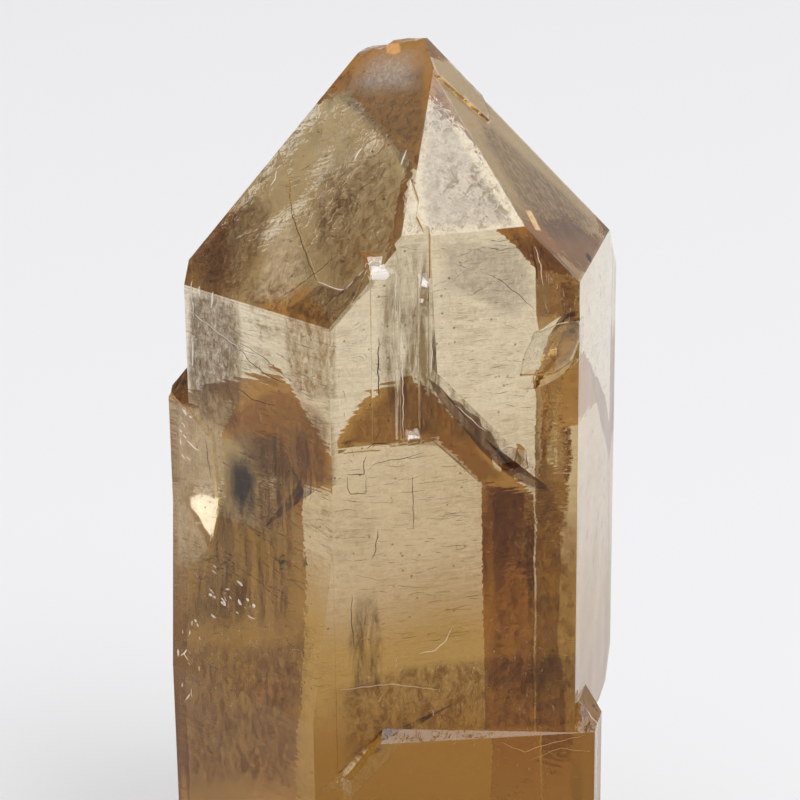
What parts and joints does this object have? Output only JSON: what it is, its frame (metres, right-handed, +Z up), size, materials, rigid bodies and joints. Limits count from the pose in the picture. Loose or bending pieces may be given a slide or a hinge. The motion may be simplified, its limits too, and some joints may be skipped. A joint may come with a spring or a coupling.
{
  "type": "citrine crystal",
  "caption": "Natural smoky-golden citrine quartz point with growth ledges and a broken tip, standing on a flat cut base.",
  "frame": {"origin": "bottom centre of the bounding box, on the flat cut base", "axes": "+Z up along the crystal's long axis, -Y out of the widest front prism face"},
  "size_m": [0.082, 0.0708, 0.1754],
  "materials": {
    "citrine": "clear to hazy natural quartz, glossy crystal faces, frosted broken tip"
  },
  "bodies": {
    "root": {"citrine_crystal": "citrine"}
  },
  "joints": []
}
